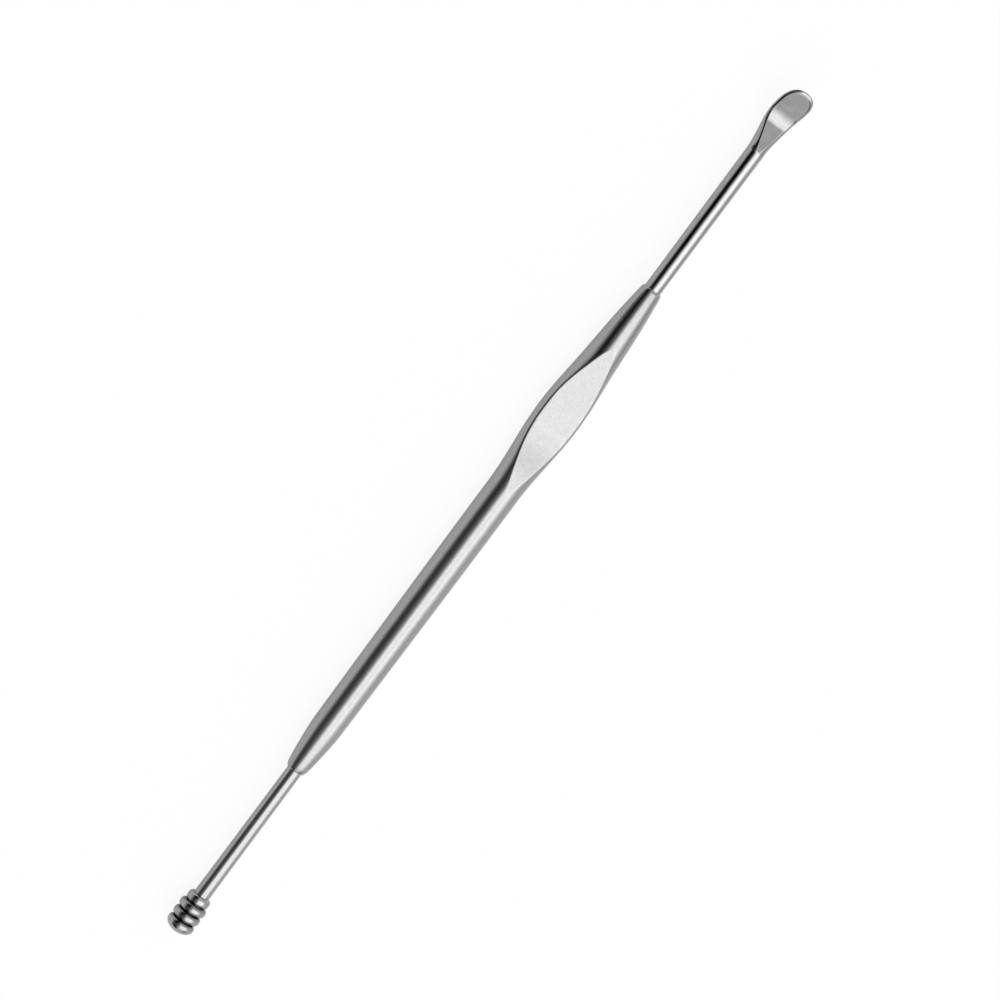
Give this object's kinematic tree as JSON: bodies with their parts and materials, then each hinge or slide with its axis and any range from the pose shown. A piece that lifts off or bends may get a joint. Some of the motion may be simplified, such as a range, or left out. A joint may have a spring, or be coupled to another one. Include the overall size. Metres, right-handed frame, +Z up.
{
  "type": "ear pick",
  "caption": "Slim double-ended steel ear pick: round handle with a pressed thumb flat, a bent scoop on one shank and a ringed tip on the other.",
  "frame": {"origin": "on the surface that the tool lies on, under the middle of its length and on its plane of symmetry", "axes": "+X along the tool towards the scoop, +Z up, square to the thumb flat that the scoop's hollow shares, +Y across the tool"},
  "size_m": [0.1196, 0.0054, 0.0053],
  "materials": {
    "handle_steel": "polished, with fine lengthwise polishing lines",
    "scoop_steel": "bright polished",
    "ring_steel": "bright turned and polished"
  },
  "bodies": {
    "root": {"handle": "handle_steel", "scoop_shank": "scoop_steel", "ring_shank": "ring_steel"}
  },
  "joints": []
}
